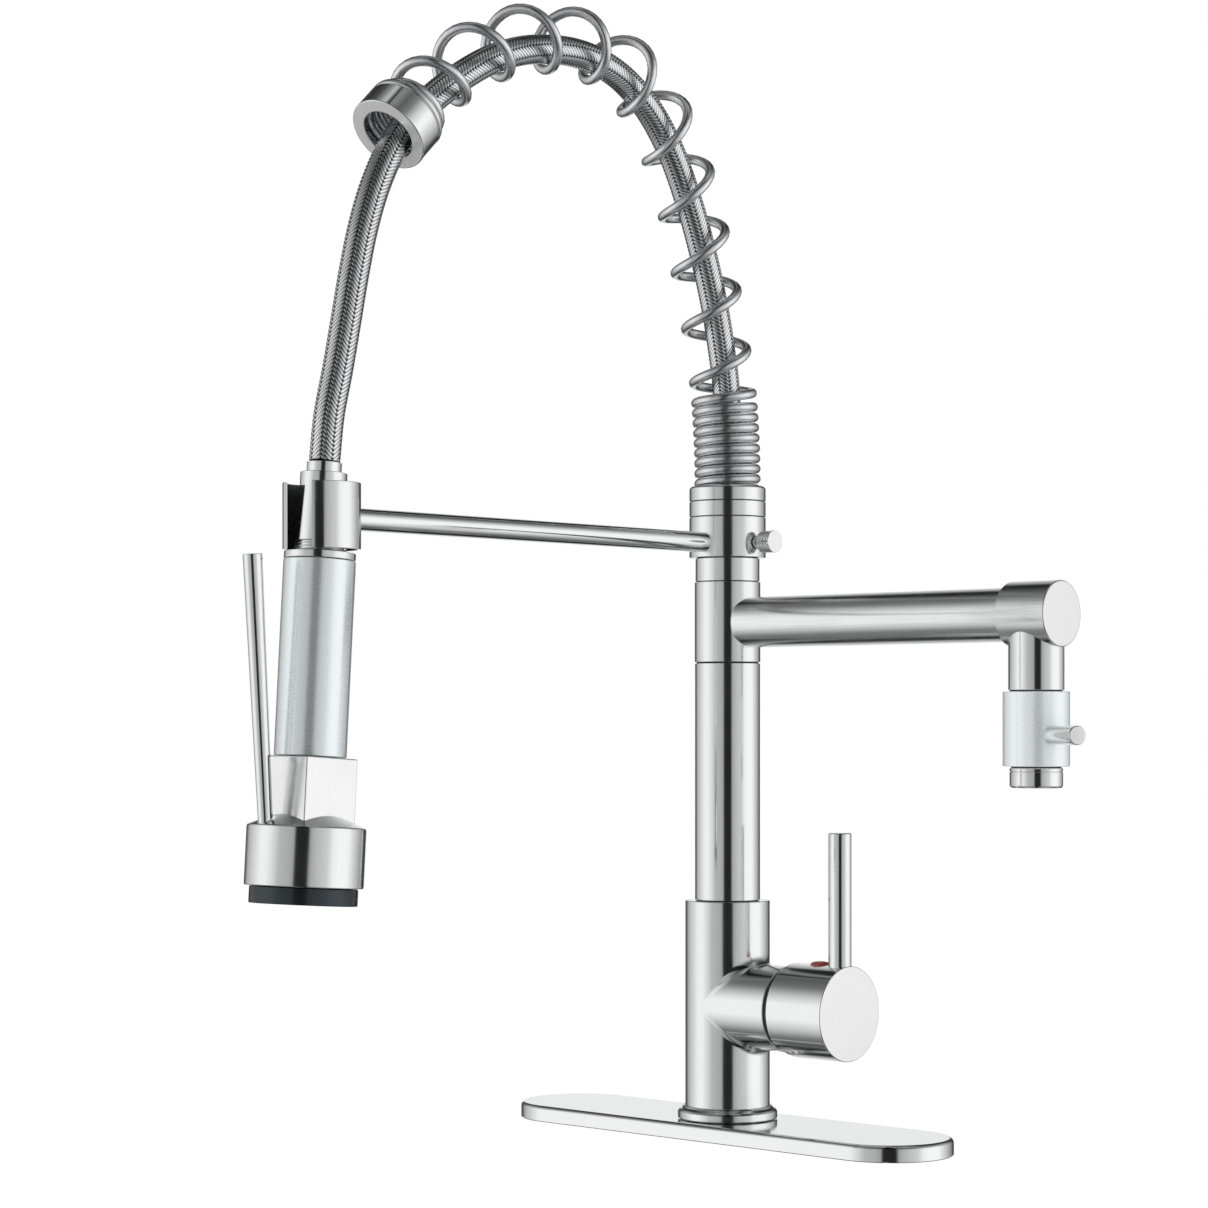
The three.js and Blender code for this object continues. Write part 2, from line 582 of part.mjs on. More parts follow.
function headPieces() {
  const prism = box(0, 0, -119.4, BLOCK.width, BLOCK.width, 33.2);
  prism.rotateZ(THREE.MathUtils.degToRad(BLOCK.turn));
  const spigot = bar(12, -138, -125, SMALL_SIDES);
  const wayThrough = [bar(5.4, -136, -100, 12), bar(2.9, -140, -130, 10)];
  const block = cut(joined(cut(prism, turned(bellOutline(GAP))), spigot), ...wayThrough);
  const leverHole = bar(4.2, -138, -120, 14).translate(0, -HEAD_LEVER.out, 0);
  const pinHole = towardsX(bar(1.9, -7.5, 7.5, 8)).translate(0, -HEAD_LEVER.out, HEAD_LEVER.low);
  const bell = cut(
    turned(bellOutline(0)),
    bar(22.6, -160, -136.4, 24), bar(12.3, -140, -120, SMALL_SIDES), leverHole, pinHole,
  );
  const ring = [
    [20, -165.5], [22.8, -165.5], [23.2, -165], [23.2, -158.3], [22.2, -158.3], [22.2, -148], [20, -148],
  ];
  const jets = [];
  for (let i = 0; i < 8; i += 1) {
    jets.push(bar(1.2, -166, -158, 5).translate(14.5, 0, 0).rotateZ((i * Math.PI) / 4));
  }
  jets.push(bar(4.5, -166, -158, 8));
  return [
    piece('head_block', block, STEEL),
    piece('head_bell', bell, STEEL),
    piece('nozzle_ring', turned(ring, 24), BLACK),
    piece('spray_face', cut(bar(19.7, -164.3, -161, 20), ...jets), BLACK),
  ];
}

function triggerPieces() {
  const { out, low, topOut, top, foot, head } = HEAD_LEVER;
  const plunger = [
    [0, -146], [4.5, -146], [4.5, -143.2], [2.5, -143.2], [2.5, -116], [5, -115], [5, -111], [0, -111],
  ];
  const length = Math.hypot(topOut - out, top - low);
  const lean = Math.atan2(topOut - out, top - low);
  const taper = [[0, 0], [foot, 0], [head, length - 0.3], [head - 0.3, length], [0, length]];
  const rod = turned(taper, 16).rotateX(lean).translate(0, -out, low);
  const pin = towardsX(bar(1.6, -7, 7, 8)).translate(0, -out, low);
  const tail = box(0, -out + 2, low - 4.5, 4, 3.2, 10);
  const forkHeight = low - 7.6;
  const fork = cut(box(0, -7.5, forkHeight, 12, 24, 3), box(0, 1, forkHeight, 6, 14, 5));
  const coil = [];
  for (let i = 0; i <= 32; i += 1) {
    const angle = (2 * Math.PI * i) / 8;
    coil.push(new THREE.Vector3(4 * Math.cos(angle), 4 * Math.sin(angle), -134.6 + 0.53 * i));
  }
  return [
    piece('spray_plunger', turned(plunger, 10), STEEL),
    piece('plunger_spring', swept(coil, 0.5, 4, 32), STEEL),
    piece('spray_lever', joined(rod, pin, tail, fork), STEEL),
  ];
}

// ---- assembly ----

function group(pieces, place = () => {}) {
  const made = new THREE.Group();
  made.add(...pieces);
  place(made);
  return made;
}

const mixer = group([...fixedCartridge(), ...movingCartridge(), ...handlePieces()], (made) => {
  made.position.z = MIXER_HEIGHT;
  made.rotation.y = Math.PI / 2;
});

const outlet = group([...outletPieces(), ...outletValvePieces()], (made) => {
  made.position.x = OUTLET_X;
});

const sprayHead = group([...gripPieces(), ...headPieces(), ...triggerPieces()], (made) => {
  made.position.set(0, -DOCK_REACH, ROD.height);
  const [lean, turn] = [HEAD_LEAN, HEAD_TURN].map(THREE.MathUtils.degToRad);
  made.rotation.set(-lean, 0, turn);
});

const faucet = group([
  ...deckPieces(),
  ...clampPieces(),
  inletPiece('hot_inlet', 1),
  inletPiece('cold_inlet', -1),
  piece('mixer_body', mixerBody(), STEEL),
  mixer,
  ...columnPieces(),
  ...spoutPieces(),
  outlet,
  ...collarPieces(),
  ...holderPieces(),
  thumbScrew(),
  ...archPieces(),
  sprayHead,
]);

export default faucet;
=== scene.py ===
"""A single-lever kitchen faucet with a sprung pull-down spray and a second, swivelling spout.

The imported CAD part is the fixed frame. Fine pieces stand for its visible nodes, and the rest keep their
shape and get a finish. Outlines are in millimetres and are made into metres when a piece is put in place.
"""

import json
import math

import bmesh
import bpy
import numpy as np
from mathutils import Matrix, Vector


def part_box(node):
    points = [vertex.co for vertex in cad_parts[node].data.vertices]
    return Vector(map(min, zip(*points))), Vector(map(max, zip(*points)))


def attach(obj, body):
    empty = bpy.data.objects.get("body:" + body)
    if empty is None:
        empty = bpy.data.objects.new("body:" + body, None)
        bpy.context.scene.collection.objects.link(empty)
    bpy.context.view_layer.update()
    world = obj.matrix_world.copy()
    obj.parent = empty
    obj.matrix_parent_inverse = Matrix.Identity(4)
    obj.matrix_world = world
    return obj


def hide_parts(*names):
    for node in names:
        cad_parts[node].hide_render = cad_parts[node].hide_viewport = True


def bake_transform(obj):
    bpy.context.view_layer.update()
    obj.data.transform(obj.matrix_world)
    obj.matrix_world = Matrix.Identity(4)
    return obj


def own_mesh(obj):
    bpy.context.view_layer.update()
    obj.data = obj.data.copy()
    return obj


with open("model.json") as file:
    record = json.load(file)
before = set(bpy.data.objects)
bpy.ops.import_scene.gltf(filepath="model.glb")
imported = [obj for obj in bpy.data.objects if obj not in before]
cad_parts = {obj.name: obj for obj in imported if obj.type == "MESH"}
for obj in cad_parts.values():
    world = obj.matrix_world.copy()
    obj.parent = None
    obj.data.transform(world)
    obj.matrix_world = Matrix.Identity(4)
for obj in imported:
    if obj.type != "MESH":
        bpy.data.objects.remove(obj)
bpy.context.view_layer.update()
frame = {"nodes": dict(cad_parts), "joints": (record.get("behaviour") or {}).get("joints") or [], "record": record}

MM = 0.001
JOINTS = {joint["name"]: joint for joint in frame["joints"]}
SLOTS = {row["node"]: row["material_slot"] for row in frame["record"]["subparts"]}


def span(node):
    """The lowest and highest corner of a CAD node, in millimetres."""
    low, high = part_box(node)
    return Vector(low) / MM, Vector(high) / MM


def heights(node):
    low, high = span(node)
    return low.z, high.z


# ---- camera ----

VIEW_RIGHT = Vector((0.7314, 0.6820, 0))
VIEW_BACK = Vector((0.6820, -0.7314, 0))
CAMERA_DISTANCE, CAMERA_LEFT, CAMERA_HEIGHT = 1.477, 0.0608, 0.2038
LENS, SENSOR_WIDTH, SHIFT_UP = 89.4, 36, 0.096


def make_camera():
    data = bpy.data.cameras.new("camera")
    data.lens = LENS
    data.sensor_width = SENSOR_WIDTH
    data.shift_y = SHIFT_UP
    camera = bpy.data.objects.new("camera", data)
    bpy.context.scene.collection.objects.link(camera)
    camera.location = VIEW_BACK * CAMERA_DISTANCE - VIEW_RIGHT * CAMERA_LEFT
    camera.location.z = CAMERA_HEIGHT
    camera.rotation_euler = (-VIEW_BACK).to_track_quat("-Z", "Y").to_euler()
    bpy.context.scene.camera = camera


make_camera()

# ---- where things are ----

UPRIGHT = Matrix.Identity(4)
ALONG_X = Matrix.Rotation(math.pi / 2, 4, "Y")
TO_FRONT = Matrix.Rotation(math.pi / 2, 4, "X")


def at(x=0, y=0, z=0):
    return Matrix.Translation((x, y, z))


MIXER_HEIGHT = JOINTS["handle_flow"]["pos_m"][2] / MM
SPOUT_HEIGHT = JOINTS["spout_swivel"]["pos_m"][2] / MM
OUTLET_X = JOINTS["spout_valve_turn"]["pos_m"][0] / MM
ROD_HEIGHT = JOINTS["thumb_screw_turn"]["pos_m"][2] / MM
MIXER = at(z=MIXER_HEIGHT) @ ALONG_X
SPOUT = at(z=SPOUT_HEIGHT) @ ALONG_X
OUTLET = at(OUTLET_X)


def head_frame():
    """The spray head's own axes: up its grip, and across its lever's pin, from the dock."""
    up = Vector(JOINTS["spray_head_turn"]["axis"]).normalized()
    across = -Vector(JOINTS["spray_lever_squeeze"]["axis"])
    across = (across - up * across.dot(up)).normalized()
    turned = Matrix((across, up.cross(across), up)).transposed().to_4x4()
    return at(*(Vector(JOINTS["spray_head_turn"]["pos_m"]) / MM)) @ turned


HEAD = head_frame()

# ---- geometry: points and faces in millimetres ----


def smoothstep(value, low, high):
    share = np.clip((value - low) / (high - low), 0, 1)
    return share * share * (3 - 2 * share)


def lerp(a, b, share):
    return a + (b - a) * share


def softened(outline, radius, steps, loop):
    """The outline with each corner rounded. A loop has a corner at its ends too."""
    count = len(outline)
    points = []
    for i, corner in enumerate(outline):
        if not loop and i in (0, count - 1):
            points.append(Vector(corner))
            continue
        here = Vector(corner)
        before = Vector(outline[i - 1]) - here
        after = Vector(outline[(i + 1) % count]) - here
        reach = min(radius, before.length * 0.45, after.length * 0.45)
        start = here + before.normalized() * reach
        end = here + after.normalized() * reach
        for k in range(steps + 1):
            share = k / steps
            points.append(start * (1 - share) ** 2 + here * 2 * share * (1 - share) + end * share**2)
    return points


def lathe(outline, radius=0.35, sides=96, steps=4):
    """A turned solid about Z. The outline is (radius, height), and closes on itself or on the axis."""
    loop = outline[0][0] > 0
    profile = softened(outline, radius, steps, loop)
    points, faces, rings = [], [], []
    for r, h in profile:
        if r < 1e-6:
            rings.append([len(points)] * sides)
            points.append((0, 0, h))
            continue
        rings.append(list(range(len(points), len(points) + sides)))
        for k in range(sides):
            angle = 2 * math.pi * k / sides
            points.append((r * math.cos(angle), r * math.sin(angle), h))
    pairs = list(zip(rings, rings[1:] + rings[:1])) if loop else list(zip(rings, rings[1:]))
    for low, high in pairs:
        for k in range(sides):
            n = (k + 1) % sides
            corners = list(dict.fromkeys((low[k], low[n], high[n], high[k])))
            if len(corners) > 2:
                faces.append(corners)
    return points, faces


def pipe(radius, bore, low, high):
    return [(bore, low), (radius, low), (radius, high), (bore, high)]


def bar(radius, low, high):
    return [(0, low), (radius, low), (radius, high), (0, high)]


def grid(rows, wrap):
    """Faces for rows of equally many points. A wrapped grid joins each row's last point to its first."""
    points = [point for row in rows for point in row]
    width = len(rows[0])
    faces = []
    for i in range(len(rows) - 1):
        for k in range(width if wrap else width - 1):
            n = (k + 1) % width
            faces.append((i * width + k, i * width + n, (i + 1) * width + n, (i + 1) * width + k))
    return points, faces


def capped(rows):
    points, faces = grid(rows, True)
    width = len(rows[0])
    faces.append(tuple(range(width))[::-1])
    faces.append(tuple(range(len(points) - width, len(points))))
    return points, faces


def stadium(length, width, levels, steps=40):
    """A slab with round ends, through (inset, height) levels."""
    straight = (length - width) / 2
    rows = []
    for inset, height in levels:
        radius = width / 2 - inset
        row = []
        for side in (1, -1):
            for k in range(steps + 1):
                angle = math.pi * (k / steps - 0.5) + (0 if side > 0 else math.pi)
                row.append((side * straight + radius * math.cos(angle), radius * math.sin(angle), height))
        rows.append(row)
    return capped(rows)


def prism(width, low, high):
    half = width / 2
    corners = [(-half, -half), (half, -half), (half, half), (-half, half)]
    return capped([[(x, y, z) for x, y in corners] for z in (low, high)])


def merged(*solids):
    points, faces = [], []
    for solid_points, solid_faces in solids:
        faces += [tuple(i + len(points) for i in face) for face in solid_faces]
        points += [tuple(p) for p in solid_points]
    return points, faces


def moved(solid, matrix):
    points, faces = solid
    return [tuple(matrix @ Vector(p)) for p in points], faces


# ---- objects ----

SHARP = math.radians(38)


def build(name, solid, matrix):
    """A mesh in metres, with doubled points merged and faces turned outwards."""
    points, faces = solid
    mesh = bpy.data.meshes.new(name)
    mesh.from_pydata([matrix @ Vector(p) * MM for p in points], [], faces)
    bm = bmesh.new()
    bm.from_mesh(mesh)
    bmesh.ops.remove_doubles(bm, verts=bm.verts, dist=1e-7)
    bmesh.ops.dissolve_degenerate(bm, dist=1e-7, edges=bm.edges)
    bmesh.ops.recalc_face_normals(bm, faces=bm.faces)
    bm.to_mesh(mesh)
    bm.free()
    made = bpy.data.objects.new(name, mesh)
    bpy.context.scene.collection.objects.link(made)
    return made


def shade(made):
    bm = bmesh.new()
    bm.from_mesh(made.data)
    for face in bm.faces:
        face.smooth = True
    for edge in bm.edges:
        edge.smooth = len(edge.link_faces) != 2 or edge.calc_face_angle(0) < SHARP
    bm.to_mesh(made.data)
    bm.free()
    weighted = made.modifiers.new("weighted normals", "WEIGHTED_NORMAL")
    weighted.keep_sharp = True


def bevelled(made, width, segments=3):
    modifier = made.modifiers.new("bevel", "BEVEL")
    modifier.width = width * MM
    modifier.segments = segments
    modifier.limit_method = "ANGLE"
    modifier.angle_limit = SHARP
    applied(made)


def applied(made):
    """Applies every modifier to the mesh."""
    graph = bpy.context.evaluated_depsgraph_get()
    mesh = bpy.data.meshes.new_from_object(made.evaluated_get(graph))
    made.modifiers.clear()
    made.data = mesh


def drilled(made, solid, matrix):
    cutter = build("cutter", solid, matrix)
    modifier = made.modifiers.new("hole", "BOOLEAN")
    modifier.operation = "DIFFERENCE"
    modifier.solver = "EXACT"
    modifier.object = cutter
    applied(made)
    bpy.data.objects.remove(cutter)


def dress(made, material):
    made.data.materials.clear()
    made.data.materials.append(material)


def piece(name, node, body, solid, matrix=UPRIGHT, look=None, soften=0, change=None):
    """A fine piece that stands for one CAD node, in that node's finish, on that node's body."""
    made = build(name, solid, matrix)
    if change:
        change(made)
    if soften:
        bevelled(made, soften)
    shade(made)
    slot = SLOTS[node]
    dress(made, look or FINISHES[slot])
    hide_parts(node)
    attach(made, body)
    return made


def faced(made, finish, picks):
    """Gives a second finish to the faces that the test picks."""
    made.data.materials.append(finish)
    for polygon in made.data.polygons:
        polygon.material_index = int(picks(polygon))


def faces_right(polygon):
    return polygon.normal.x > 0.99


# ---- finishes ----


class Nodes:
    """Builds one material's node tree."""

    def __init__(self, name, color, roughness, metallic=1.0):
        self.material = bpy.data.materials.new(name)
        self.material.use_nodes = True
        self.tree = self.material.node_tree
        self.shader = self.tree.nodes["Principled BSDF"]
        self.shader.inputs["Base Color"].default_value = (*color, 1)
        self.shader.inputs["Roughness"].default_value = roughness
        self.shader.inputs["Metallic"].default_value = metallic
        self.place = self.tree.nodes.new("ShaderNodeTexCoord").outputs["Object"]

    def link(self, start, end):
        self.tree.links.new(start, end)

    def noise(self, scale, stretch=(1, 1, 1), detail=3.0, roughness=0.55):
        mapping = self.tree.nodes.new("ShaderNodeMapping")
        mapping.inputs["Scale"].default_value = stretch
        self.link(self.place, mapping.inputs["Vector"])
        noise = self.tree.nodes.new("ShaderNodeTexNoise")
        noise.inputs["Scale"].default_value = scale
        noise.inputs["Detail"].default_value = detail
        noise.inputs["Roughness"].default_value = roughness
        self.link(mapping.outputs["Vector"], noise.inputs["Vector"])
        return noise.outputs["Fac"]

    def speckle(self, scale):
        voronoi = self.tree.nodes.new("ShaderNodeTexVoronoi")
        voronoi.inputs["Scale"].default_value = scale
        self.link(self.place, voronoi.inputs["Vector"])
        return voronoi.outputs["Distance"]

    def attribute(self, name):
        node = self.tree.nodes.new("ShaderNodeAttribute")
        node.attribute_name = name
        return node.outputs["Fac"]

    def spread(self, value, low, high, start=0.3, end=0.7):
        node = self.tree.nodes.new("ShaderNodeMapRange")
        node.inputs["From Min"].default_value = start
        node.inputs["From Max"].default_value = end
        node.inputs["To Min"].default_value = low
        node.inputs["To Max"].default_value = high
        self.link(value, node.inputs["Value"])
        return node.outputs["Result"]

    def tint(self, value, dark, light):
        node = self.tree.nodes.new("ShaderNodeMix")
        node.data_type = "RGBA"
        node.inputs["A"].default_value = (*dark, 1)
        node.inputs["B"].default_value = (*light, 1)
        self.link(value, node.inputs["Factor"])
        self.link(node.outputs["Result"], self.shader.inputs["Base Color"])

    def rough(self, value, low, high):
        self.link(self.spread(value, low, high), self.shader.inputs["Roughness"])

    def bump(self, value, strength, distance):
        node = self.tree.nodes.new("ShaderNodeBump")
        node.inputs["Strength"].default_value = strength
        node.inputs["Distance"].default_value = distance * MM
        self.link(value, node.inputs["Height"])
        self.link(node.outputs["Normal"], self.shader.inputs["Normal"])


def brushed(name, color, roughness, grain, strength=0.12, shade_by=0.03, metallic=1.0):
    """Near-polished plate: a fine grain, cloudy gloss and a faint change of colour."""
    made = Nodes(name, color, roughness, metallic)
    lines = made.noise(1.0, grain, detail=4.0)
    cloud = made.noise(55.0, detail=2.0)
    made.rough(cloud, roughness * 0.85, roughness * 1.2)
    dark = tuple(c * (1 - shade_by) for c in color)
    made.tint(made.spread(lines, 0, 1, 0.35, 0.65), dark, color)
    made.bump(lines, strength, 0.005)
    return made.material


def satin(name, metallic):
    """Pale metallic paint with a fine sparkle."""
    made = Nodes(name, (0.95, 0.99, 1.0), 0.25, metallic)
    cloud = made.noise(1700, detail=2.0)
    made.tint(made.spread(cloud, 0, 1, 0.35, 0.65), (0.88, 0.94, 0.97), (0.95, 1.0, 1.0))
    made.rough(cloud, 0.2, 0.28)
    made.bump(made.speckle(3200), 0.1, 0.004)
    return made.material


def moulded(name, color, light, roughness, scale=900, metallic=0.0, relief=0.03):
    """Moulded plastic, rubber or ceramic with a fine skin."""
    made = Nodes(name, color, roughness, metallic)
    skin = made.noise(scale, detail=3.0)
    made.tint(made.spread(skin, 0, 1), color, light)
    made.rough(made.noise(120), roughness * 0.85, min(1.0, roughness * 1.15))
    made.bump(skin, 0.2, relief)
    return made.material


def machined(name, color, roughness):
    made = Nodes(name, color, roughness)
    turned_marks = made.noise(1.0, (60, 60, 2600), detail=3.0)
    made.tint(made.spread(turned_marks, 0, 1), tuple(c * 0.8 for c in color), color)
    made.rough(made.noise(200), roughness * 0.8, roughness * 1.3)
    made.bump(turned_marks, 0.3, 0.02)
    return made.material


def lens():
    made = Nodes("red lens", (0.26, 0.035, 0.03), 0.12, metallic=0.0)
    depth = made.noise(300, detail=2.0)
    made.tint(made.spread(depth, 0, 1), (0.20, 0.02, 0.02), (0.32, 0.06, 0.045))
    made.shader.inputs["Coat Weight"].default_value = 0.8
    made.shader.inputs["Coat Roughness"].default_value = 0.05
    made.bump(depth, 0.05, 0.05)
    return made.material


def braid():
    made = Nodes("braid", (0.9, 0.91, 0.92), 0.22)
    crown = made.attribute("crown")
    # The braid's low parts, between the strands and at the seams, are painted near black by crown height: painted
    # shade.
    made.tint(made.spread(crown, 0, 1, 0.22, 0.66), (0.035, 0.036, 0.038), (0.93, 0.94, 0.95))
    made.rough(crown, 0.4, 0.2)
    made.bump(made.noise(2500, detail=2.0), 0.2, 0.02)
    return made.material


UP_GRAIN = (2600, 2600, 30)
X_GRAIN = (30, 2600, 2600)
NICKEL = (0.92, 0.93, 0.93)

FINISHES = {
    "brushed_nickel": brushed("brushed nickel", NICKEL, 0.12, UP_GRAIN, 0.08),
    "brushed_arm": brushed("brushed nickel arm", NICKEL, 0.2, X_GRAIN, 0.35, 0.1),
    "spring_steel": brushed("spring steel", (0.88, 0.89, 0.9), 0.26, (500, 500, 500), 0.08, 0.06),
    "bare_steel": brushed("bare steel", (0.7, 0.7, 0.7), 0.3, (900, 900, 900), 0.2, 0.1),
    "pale_satin": satin("pale satin", 0.78),
    "black_slate": moulded(
        "black slate", (0.04, 0.05, 0.056), (0.06, 0.074, 0.083), 0.18,
        scale=1500, metallic=0.8, relief=0.003,
    ),
    "brass": machined("machined brass", (0.83, 0.62, 0.3), 0.28),
    "rubber": moulded("rubber", (0.018, 0.018, 0.019), (0.035, 0.035, 0.036), 0.7),
    "nylon": moulded("nylon", (0.74, 0.72, 0.66), (0.82, 0.8, 0.75), 0.45),
    "ceramic": moulded("ceramic", (0.85, 0.84, 0.8), (0.9, 0.89, 0.86), 0.15),
    "red_lens": lens(),
    "braid": braid(),
}
# Near-black finish for the holder ring's inward faces: painted shade that stands for the shade inside the ring.
RING_INSIDE_PAINTED_SHADE = moulded("ring inside painted shade", (0.02, 0.021, 0.022), (0.04, 0.041, 0.042), 0.3)
PALE_PAINT = satin("pale paint", 0.5)
BLOCK_FINISH = brushed("brushed nickel block", (0.96, 0.96, 0.96), 0.22, UP_GRAIN, 0.1, 0.04)
END_GRAIN = brushed("brushed nickel end", (0.95, 0.95, 0.95), 0.25, (900, 900, 900), 0.03, 0.015, 0.65)

# ---- the hose's route, and the spring round it ----

HOSE_ROUTE = [
    (0, 322), (0, 344), (0.9, 366), (4.6, 386), (10.2, 408), (18.2, 431), (28.2, 454), (41.2, 477),
    (56.4, 494.5), (72.8, 505.8), (89.5, 512), (106.3, 514.4), (124, 513.6), (143.4, 510),
    (163, 503), (181, 493.2), (198.5, 481.2), (214.2, 468), (226, 453), (235.2, 436.2),
    (242.2, 417.5), (247.6, 397), (252.2, 376), (257, 354.5), (261.9, 334.5), (264.5, 314.4),
]
HOSE_RADIUS = 6.75
NUT = {"reach": 227.6, "height": 459.4, "slope": math.radians(-44.4), "length": 17.5}


def curve_through(controls, steps=60):
    """A Catmull-Rom curve through (reach, height) controls, as points in the arch's plane."""
    ends = [2 * controls[0] - controls[1], *controls, 2 * controls[-1] - controls[-2]]
    share = np.arange(steps)[:, None] / steps
    found = []
    for a, b, c, d in zip(ends, ends[1:], ends[2:], ends[3:]):
        start, end = (c - a) / 2, (d - b) / 2
        found.append(
            (2 * b - 2 * c + start + end) * share**3 + (3 * c - 3 * b - 2 * start - end) * share**2
            + start * share + b
        )
    return np.vstack([*found, controls[-1][None]])


class Arch:
    """The hose's centre line, by distance from its lower end."""

    def __init__(self):
        controls = [np.array((0.0, -reach, height)) for reach, height in HOSE_ROUTE]
        self.points = curve_through(controls)
        gaps = np.linalg.norm(np.diff(self.points, axis=0), axis=1)
        self.distances = np.concatenate([[0], np.cumsum(gaps)])
        self.length = self.distances[-1]
        self.tangents = np.gradient(self.points, axis=0)
        self.tangents /= np.linalg.norm(self.tangents, axis=1)[:, None]

    def at(self, distance):
        """The point, the direction along, and the direction away from the arch's inside."""
        point = np.array([np.interp(distance, self.distances, self.points[:, k]) for k in range(3)])
        along = np.array([np.interp(distance, self.distances, self.tangents[:, k]) for k in range(3)])
        along /= np.linalg.norm(along)
        return point, along, np.array((0.0, along[2], -along[1]))

    def nearest(self, place):
        return self.distances[np.argmin(np.linalg.norm(self.points - place, axis=1))]


ARCH = Arch()
ACROSS = np.array((1.0, 0.0, 0.0))


def braided_tube():
    """A tube whose surface is a herringbone braid. Returns the solid, the crown heights and the path."""
    sides, pitch, steps_per_pitch, columns = 56, 1.9, 6, 4
    relief, slant, first_column, rings_per_path_point = 0.42, 2.3, 0.13, 40
    rings = int(ARCH.length / pitch * steps_per_pitch)
    angle = 2 * math.pi * np.arange(sides) / sides
    turn = angle * columns / (2 * math.pi) + first_column
    zigzag = 2 * np.abs(turn - np.floor(turn + 0.5))
    seam = smoothstep(np.minimum(zigzag, 1 - zigzag), 0, 0.16)
    rows, crowns, path = [], [], []
    for i in range(rings + 1):
        distance = ARCH.length * i / rings
        point, _, outward = ARCH.at(distance)
        strand = 0.5 + 0.5 * np.cos(2 * math.pi * (distance / pitch + slant * zigzag))
        crown = strand**0.55 * (0.3 + 0.7 * seam)
        radius = HOSE_RADIUS - relief + relief * crown
        row = point + np.outer(radius * np.cos(angle), outward) + np.outer(radius * np.sin(angle), ACROSS)
        rows.append(row.tolist())
        crowns += crown.tolist()
        if i % rings_per_path_point == 0 or i == rings:
            path.append((point * MM).tolist())
    return capped(rows), crowns, path


def make_hose():
    solid, crowns, path = braided_tube()
    mesh = bpy.data.meshes.new("braided_hose")
    mesh.from_pydata((np.array(solid[0]) * MM).tolist(), [], solid[1])
    mesh.attributes.new("crown", "FLOAT", "POINT").data.foreach_set("value", crowns)
    mesh.polygons.foreach_set("use_smooth", [True] * len(mesh.polygons))
    hose = bpy.data.objects.new("braided_hose", mesh)
    bpy.context.scene.collection.objects.link(hose)
    dress(hose, FINISHES["braid"])
    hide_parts("spray_hose")
    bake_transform(hose)


# The spring's wire radius, its ends, its first angle, its radii, how far its axis stands outside the hose's,
# and its pitches.
WIRE = 2.37
COIL_FOOT, CLOSED_TOP, OPENING_LENGTH, DEPTH_IN_NUT = 316.31, 357, 23, 11
FOOT_ANGLE = -2.32
COIL_RADIUS, NUT_COIL_RADIUS = 14.05, 13.9
LOW_LIFT, ARCH_LIFT, NUT_LIFT = -2.8, 4.75, 3.2
CLOSED_PITCH, LOW_PITCH, ARCH_PITCH = 4.99, 28.9, 33.2


def nut_axis():
    return np.array((0.0, -math.cos(NUT["slope"]), math.sin(NUT["slope"])))


def nut_front():
    return np.array((0.0, -NUT["reach"], NUT["height"]))


def coil_line(steps_per_turn=28):
    """The right-handed spring's centre line: closed at the foot, open over the arch, closed in the nut."""
    end = ARCH.nearest(nut_front() - nut_axis() * NUT["length"]) + DEPTH_IN_NUT
    base = HOSE_ROUTE[0][1]
    closed_end = CLOSED_TOP - base
    distance, turn, line = COIL_FOOT - base, 0, []
    while distance < end:
        opening = smoothstep(distance, closed_end, closed_end + OPENING_LENGTH)
        closing = smoothstep(distance, end - 30, end - 10)
        low_lift = LOW_LIFT * smoothstep(distance, 0, 60)
        over_arch = smoothstep(distance, 80, 230)
        lift = lerp(lerp(low_lift, ARCH_LIFT, over_arch), NUT_LIFT, closing)
        point, _, outward = ARCH.at(max(distance, 0))
        point = point + outward * lift + np.array((0, 0, min(distance, 0)))
        radius = lerp(COIL_RADIUS, NUT_COIL_RADIUS, closing)
        angle = 2 * math.pi * turn / steps_per_turn + FOOT_ANGLE
        line.append(point + radius * (outward * math.cos(angle) - ACROSS * math.sin(angle)))
        pitch = lerp(LOW_PITCH, ARCH_PITCH, smoothstep(distance, 122, 275))
        distance += lerp(CLOSED_PITCH, pitch, opening * (1 - closing)) / steps_per_turn
        turn += 1
    return line


def swept(line, radius, sides=14):
    """A round wire along a line, with rounded ends."""
    line = np.array(line)
    along = np.gradient(line, axis=0)
    along /= np.linalg.norm(along, axis=1)[:, None]
    normal = np.cross(along[0], ACROSS)
    rows = []
    for i, (point, tangent) in enumerate(zip(line, along)):
        normal = normal - tangent * normal.dot(tangent)
        normal /= np.linalg.norm(normal)
        side = np.cross(tangent, normal)
        edge = min(i, len(line) - 1 - i)
        size = radius * (0.8 if edge == 0 else 1)
        row = []
        for k in range(sides):
            angle = 2 * math.pi * k / sides
            row.append(tuple(point + size * (normal * math.cos(angle) + side * math.sin(angle))))
        rows.append(row)
    return capped(rows)


def make_spring():
    spring = build("arch_coil", swept(coil_line(), WIRE), UPRIGHT)
    for polygon in spring.data.polygons:
        polygon.use_smooth = True
    dress(spring, FINISHES["spring_steel"])
    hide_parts("arch_spring")
    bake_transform(spring)


make_hose()
make_spring()

# ---- deck and mixer ----

PLATE_EDGE = 2.4
BODY_RADIUS, BODY_BORE = 20.8, 12
SLEEVE_END, SLEEVE_BORE = 39.6, 17.8
FILLET_ABOVE, FILLET_BELOW = 5.5, 3.6
RELIEF_START, RELIEF_SLOPE = (42.5, -14), (6, -8.75)


